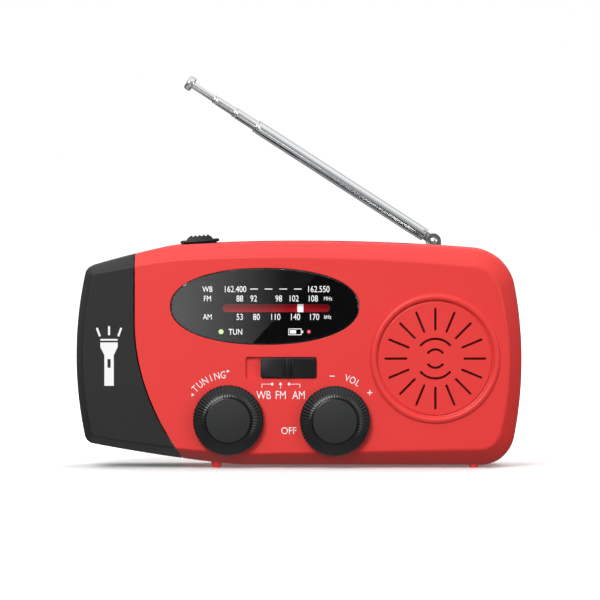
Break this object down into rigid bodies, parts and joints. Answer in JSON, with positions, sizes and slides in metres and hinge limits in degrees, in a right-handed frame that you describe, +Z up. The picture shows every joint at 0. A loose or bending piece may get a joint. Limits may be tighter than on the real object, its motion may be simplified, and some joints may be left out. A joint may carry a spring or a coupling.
{
  "type": "emergency radio",
  "caption": "Small hand-crank emergency radio with tuning dial, speaker, torch in its end, solar panel and telescopic antenna.",
  "frame": {"origin": "centre of the bounding box at the height of the feet", "axes": "+X along the radio's length, from the torch end to the speaker end as seen from the front; +Y from the front face to the back; +Z up"},
  "size_m": [0.1286, 0.046, 0.1133],
  "materials": {
    "red_shell": "fine satin texture, moulded",
    "black_cap": "satin, moulded",
    "clear_lens": "clear polished acrylic",
    "reflector": "vacuum-metallised plastic",
    "board": "green solder mask",
    "white_lamp": "clear epoxy lamp",
    "dial_print": "gloss black print",
    "red_backplate": "matt red",
    "green_lamp": "tinted lamp",
    "red_lamp": "tinted lamp",
    "white_plastic": "moulded",
    "steel": "plated sheet",
    "cone_paper": "pressed paper pulp",
    "ferrite": "sintered, dull",
    "solar_cells": "cells under clear resin",
    "black_trim": "satin, moulded",
    "cell_wrap": "shrink wrap",
    "copper": "enamelled wire",
    "black_knob": "soft matt, ribbed edge",
    "nylon": "natural nylon",
    "rubber": "matt",
    "antenna_chrome": "bright plated",
    "crank_chrome": "bright plated"
  },
  "bodies": {
    "root": {"front_shell": "red_shell", "rear_shell": "red_shell", "end_cap": "black_cap", "torch_lens": "clear_lens", "torch_reflector": "reflector", "torch_board": "board", "torch_led": "white_lamp", "dial_lens": "clear_lens", "dial_mask": "dial_print", "dial_backplate": "red_backplate", "tuning_led": "green_lamp", "charge_led": "red_lamp", "tuning_capacitor": "white_plastic", "volume_pot": "steel", "band_switch": "steel", "main_board": "board", "speaker_frame": "steel", "speaker_cone": "cone_paper", "speaker_magnet": "ferrite", "solar_panel": "solar_cells", "button_bezel": "black_trim", "torch_switch": "black_trim", "generator": "steel", "gearbox_plate": "steel", "battery_cell": "cell_wrap", "ferrite_rod": "ferrite", "antenna_coil": "copper", "port_board": "board", "usb_socket": "steel", "micro_usb_socket": "steel", "case_screw_1": "steel", "case_screw_2": "steel", "case_screw_3": "steel", "case_screw_4": "steel"},
    "tuning": {"tuning_knob": "black_knob", "tuning_pinion": "nylon"},
    "capacitor_wheel": {"capacitor_gear": "nylon"},
    "pointer": {"dial_pointer": "white_plastic"},
    "volume": {"volume_knob": "black_knob", "volume_shaft": "steel"},
    "band_selector": {"band_slider": "black_trim"},
    "torch_switch_button": {"torch_button": "black_trim"},
    "port_flap": {"port_cover": "rubber"},
    "antenna_base": {"antenna_swivel": "antenna_chrome", "antenna_pin": "steel"},
    "antenna_section_1": {"antenna_tube_1": "antenna_chrome"},
    "antenna_section_2": {"antenna_tube_2": "antenna_chrome"},
    "antenna_section_3": {"antenna_tube_3": "antenna_chrome"},
    "antenna_section_4": {"antenna_rod": "antenna_chrome", "antenna_tip": "antenna_chrome"},
    "crank": {"crank_arm": "black_trim", "crank_shaft": "steel", "crank_cap": "crank_chrome", "crank_hinge_pin": "steel", "drive_gear": "nylon"},
    "crank_handle": {"crank_spindle": "steel"},
    "crank_grip_sleeve": {"crank_grip": "black_trim"},
    "idler_1": {"idler_gear_1": "nylon"},
    "idler_2": {"idler_gear_2": "nylon"},
    "rotor": {"rotor_pinion": "steel"}
  },
  "joints": [
    {"name": "tuning_turn", "type": "hinge", "parent": "root", "child": "tuning", "pos_m": [-0.0205, -0.0185, 0.0139], "axis": [0, 1, 0], "range_deg": [-66, 227]},
    {"name": "capacitor_turn", "type": "hinge", "parent": "root", "child": "capacitor_wheel", "pos_m": [-0.02455, -0.0145, 0.0273], "axis": [0, 1, 0], "range_deg": [-119, 35]},
    {"name": "pointer_slide", "type": "slide", "parent": "root", "child": "pointer", "axis": [1, 0, 0], "range_m": [-0.0191, 0.0056]},
    {"name": "volume_turn", "type": "hinge", "parent": "root", "child": "volume", "pos_m": [0.0102, -0.0185, 0.0137], "axis": [0, 1, 0], "range_deg": [-150, 150]},
    {"name": "band_slide", "type": "slide", "parent": "root", "child": "band_selector", "axis": [1, 0, 0], "range_m": [-0.0041, 0]},
    {"name": "torch_press", "type": "slide", "parent": "root", "child": "torch_switch_button", "axis": [-0.0698, 0, 0.9976], "range_m": [-0.0012, 0], "stiffness_N_per_m": 100},
    {"name": "port_open", "type": "hinge", "parent": "root", "child": "port_flap", "pos_m": [0.04345, 0.02055, 0.0315], "axis": [0, 0, 1], "range_deg": [0, 110]},
    {"name": "antenna_swing", "type": "hinge", "parent": "root", "child": "antenna_base", "pos_m": [0.0392, 0.0156, 0.0651], "axis": [0, 0, 1], "range_deg": [-180, 0]},
    {"name": "antenna_tilt", "type": "hinge", "parent": "antenna_base", "child": "antenna_section_1", "pos_m": [0.0392, 0.0156, 0.0651], "axis": [0, 1, 0], "range_deg": [-32.9, 57.1]},
    {"name": "antenna_slide_2", "type": "slide", "parent": "antenna_section_1", "child": "antenna_section_2", "axis": [-0.8396, 0, 0.5432], "range_m": [-0.0073, 0.044]},
    {"name": "antenna_slide_3", "type": "slide", "parent": "antenna_section_2", "child": "antenna_section_3", "axis": [-0.8396, 0, 0.5432], "range_m": [-0.0061, 0.041]},
    {"name": "antenna_slide_4", "type": "slide", "parent": "antenna_section_3", "child": "antenna_section_4", "axis": [-0.8396, 0, 0.5432], "range_m": [-0.0067, 0.038]},
    {"name": "crank_turn", "type": "hinge", "parent": "root", "child": "crank", "pos_m": [0.006, 0.014, 0.031], "axis": [0, 1, 0], "continuous": true},
    {"name": "handle_fold", "type": "hinge", "parent": "crank", "child": "crank_handle", "pos_m": [-0.017, 0.0172, 0.031], "axis": [0, 0, 1], "range_deg": [0, 90]},
    {"name": "grip_spin", "type": "hinge", "parent": "crank_handle", "child": "crank_grip_sleeve", "pos_m": [-0.009, 0.0172, 0.031], "axis": [1, 0, 0], "continuous": true},
    {"name": "idler_1_turn", "type": "hinge", "parent": "root", "child": "idler_1", "pos_m": [0.02074, 0.008, 0.02068], "axis": [0, 1, 0], "continuous": true},
    {"name": "idler_2_turn", "type": "hinge", "parent": "root", "child": "idler_2", "pos_m": [0.02866, 0.008, 0.03439], "axis": [0, 1, 0], "continuous": true},
    {"name": "rotor_turn", "type": "hinge", "parent": "root", "child": "rotor", "pos_m": [0.02616, 0.008, 0.04858], "axis": [0, 1, 0], "continuous": true}
  ],
  "couplings": [
    {"joint": "capacitor_turn", "follows": "tuning_turn", "ratio": -0.52174},
    {"joint": "pointer_slide", "follows": "tuning_turn", "m_per_rad": -0.0048},
    {"joint": "idler_1_turn", "follows": "crank_turn", "ratio": -4},
    {"joint": "idler_2_turn", "follows": "crank_turn", "ratio": 13.6},
    {"joint": "rotor_turn", "follows": "crank_turn", "ratio": -40.8}
  ]
}
